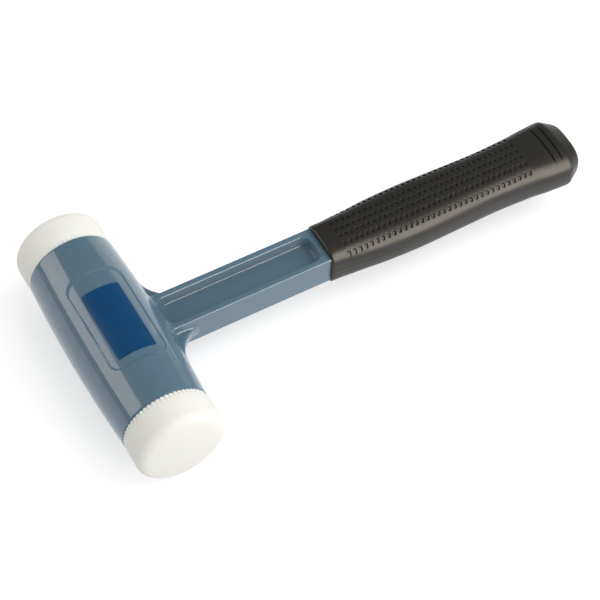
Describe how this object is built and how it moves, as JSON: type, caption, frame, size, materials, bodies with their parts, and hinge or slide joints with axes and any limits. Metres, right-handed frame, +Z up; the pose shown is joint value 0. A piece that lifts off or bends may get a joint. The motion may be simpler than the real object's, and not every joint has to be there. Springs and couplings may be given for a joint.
{
  "type": "nylon-faced dead blow hammer",
  "caption": "Dead blow hammer with a shot-filled steel head, crowned nylon faces, a pocketed steel shank and a dimpled rubber grip.",
  "frame": {"origin": "middle of the hammer's footprint, on the surface it lies on", "axes": "+X from the head to the butt of the grip, +Y along the head towards the rear face, +Z up through the label side"},
  "size_m": [0.2773, 0.1386, 0.0472],
  "materials": {
    "painted_steel": "gloss hammer-grey paint on cast steel",
    "nylon": "moulded natural nylon, semi-gloss",
    "grip_rubber": "satin moulded rubber",
    "label_film": "blank satin film",
    "bare_steel": "bright ground steel"
  },
  "bodies": {
    "hammer": {"head_casting": "painted_steel", "grip_sleeve": "grip_rubber", "front_retaining_disc": "bare_steel", "rear_retaining_disc": "bare_steel", "blank_label": "label_film"},
    "front_face": {"front_nylon_face": "nylon"},
    "rear_face": {"rear_nylon_face": "nylon"},
    "shot_charge": {"shot_layer_01": "bare_steel", "shot_layer_02": "bare_steel", "shot_layer_03": "bare_steel", "shot_layer_04": "bare_steel", "shot_layer_05": "bare_steel", "shot_layer_06": "bare_steel", "shot_layer_07": "bare_steel", "shot_layer_08": "bare_steel", "shot_layer_09": "bare_steel", "shot_layer_10": "bare_steel"}
  },
  "joints": [
    {"name": "front_face_pull", "type": "slide", "parent": "hammer", "child": "front_face", "axis": [0, -1, 0], "range_m": [0, 0.03]},
    {"name": "rear_face_pull", "type": "slide", "parent": "hammer", "child": "rear_face", "axis": [0, 1, 0], "range_m": [0, 0.03]},
    {"name": "shot_surge", "type": "slide", "parent": "hammer", "child": "shot_charge", "axis": [0, 1, 0], "range_m": [-0.005, 0.005]}
  ]
}
